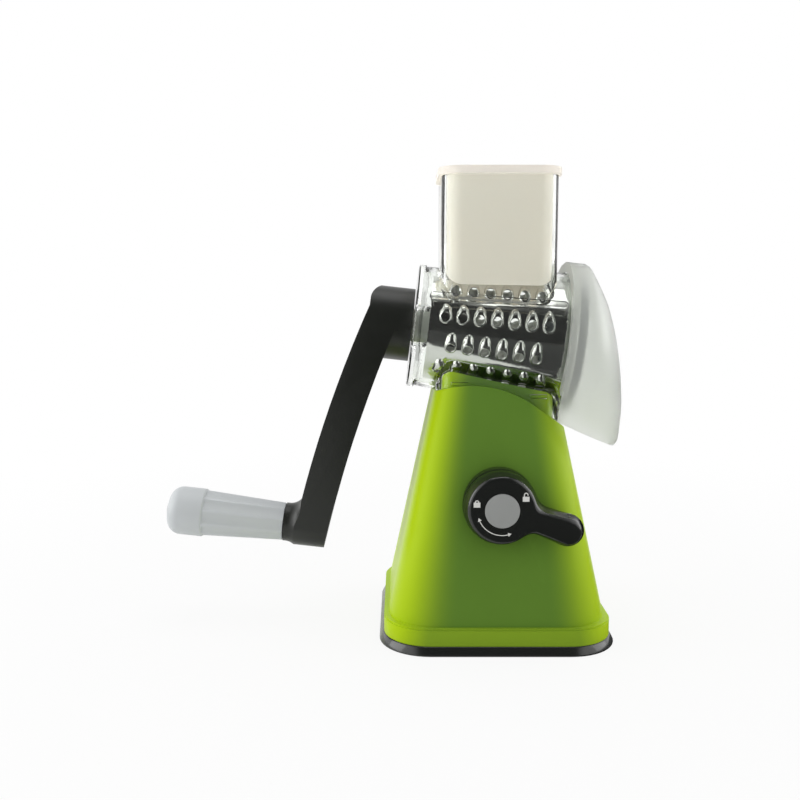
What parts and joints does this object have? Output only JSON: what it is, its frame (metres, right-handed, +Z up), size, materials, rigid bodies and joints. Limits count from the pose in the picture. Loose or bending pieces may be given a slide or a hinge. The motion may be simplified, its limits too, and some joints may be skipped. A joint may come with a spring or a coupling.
{
  "type": "rotary cheese grater",
  "caption": "Hand-cranked drum grater: clear hopper and chamber with a perforated steel drum, a side crank, an outlet hood and a suction-lock base with a front lever.",
  "frame": {"origin": "centre of the suction cup's sealing circle on the table, under the middle of the base", "axes": "+Z up; +X towards the outlet, away from the crank; the locking lever faces -Y"},
  "size_m": [0.2572, 0.126, 0.2515],
  "materials": {
    "shell_green": "glossy",
    "foot_black": "satin",
    "plate_black": "fine grain",
    "cup_rubber": "smooth",
    "steel": "satin",
    "drum_steel": "polished",
    "lock_white": "satin",
    "lever_black": "glossy",
    "cap_grey": "satin",
    "clear_plastic": "clear, glossy",
    "frosted_plastic": "frosted",
    "crank_black": "fine grain",
    "grip_grey": "satin",
    "rim_grey": "satin"
  },
  "bodies": {
    "base": {"base_shell": "shell_green", "base_plate": "plate_black", "base_ring": "foot_black", "base_screws": "steel", "suction_cup": "cup_rubber", "release_spring": "steel", "lever_bush": "lever_black", "chamber": "clear_plastic", "end_bush": "lock_white", "spout": "frosted_plastic"},
    "crank": {"crank_arm": "crank_black", "crank_screw": "steel", "drive_shaft": "steel", "drum_hub": "plate_black", "drum_shell": "drum_steel", "drum_rim": "rim_grey", "grip_axle": "steel"},
    "handle": {"grip": "grip_grey"},
    "press": {"pusher": "frosted_plastic"},
    "lock": {"lever": "lever_black", "lever_screw": "steel", "lever_cap": "cap_grey", "cam_shaft": "lock_white"},
    "lifter": {"pull_rod": "steel", "cam_yoke": "lock_white", "follower_pin": "steel"}
  },
  "joints": [
    {"name": "crank_spin", "type": "hinge", "parent": "base", "child": "crank", "pos_m": [0, 0, 0.16275], "axis": [0.9938, 0, -0.1115], "continuous": true},
    {"name": "grip_spin", "type": "hinge", "parent": "crank", "child": "handle", "pos_m": [-0.14257, 0, 0.05799], "axis": [0.9938, 0, -0.1115], "continuous": true},
    {"name": "pusher_lift", "type": "slide", "parent": "base", "child": "press", "axis": [0, 0, 1], "range_m": [0, 0.065]},
    {"name": "lever_turn", "type": "hinge", "parent": "base", "child": "lock", "pos_m": [0, -0.05, 0.076], "axis": [0, 1, 0], "range_deg": [0, 144]},
    {"name": "rod_lift", "type": "slide", "parent": "base", "child": "lifter", "axis": [0, 0, 1], "range_m": [0, 0.007], "deforming": ["suction_cup", "release_spring"]}
  ],
  "couplings": [
    {"joint": "rod_lift", "follows": "lever_turn", "m_per_rad": 0.0027852}
  ]
}
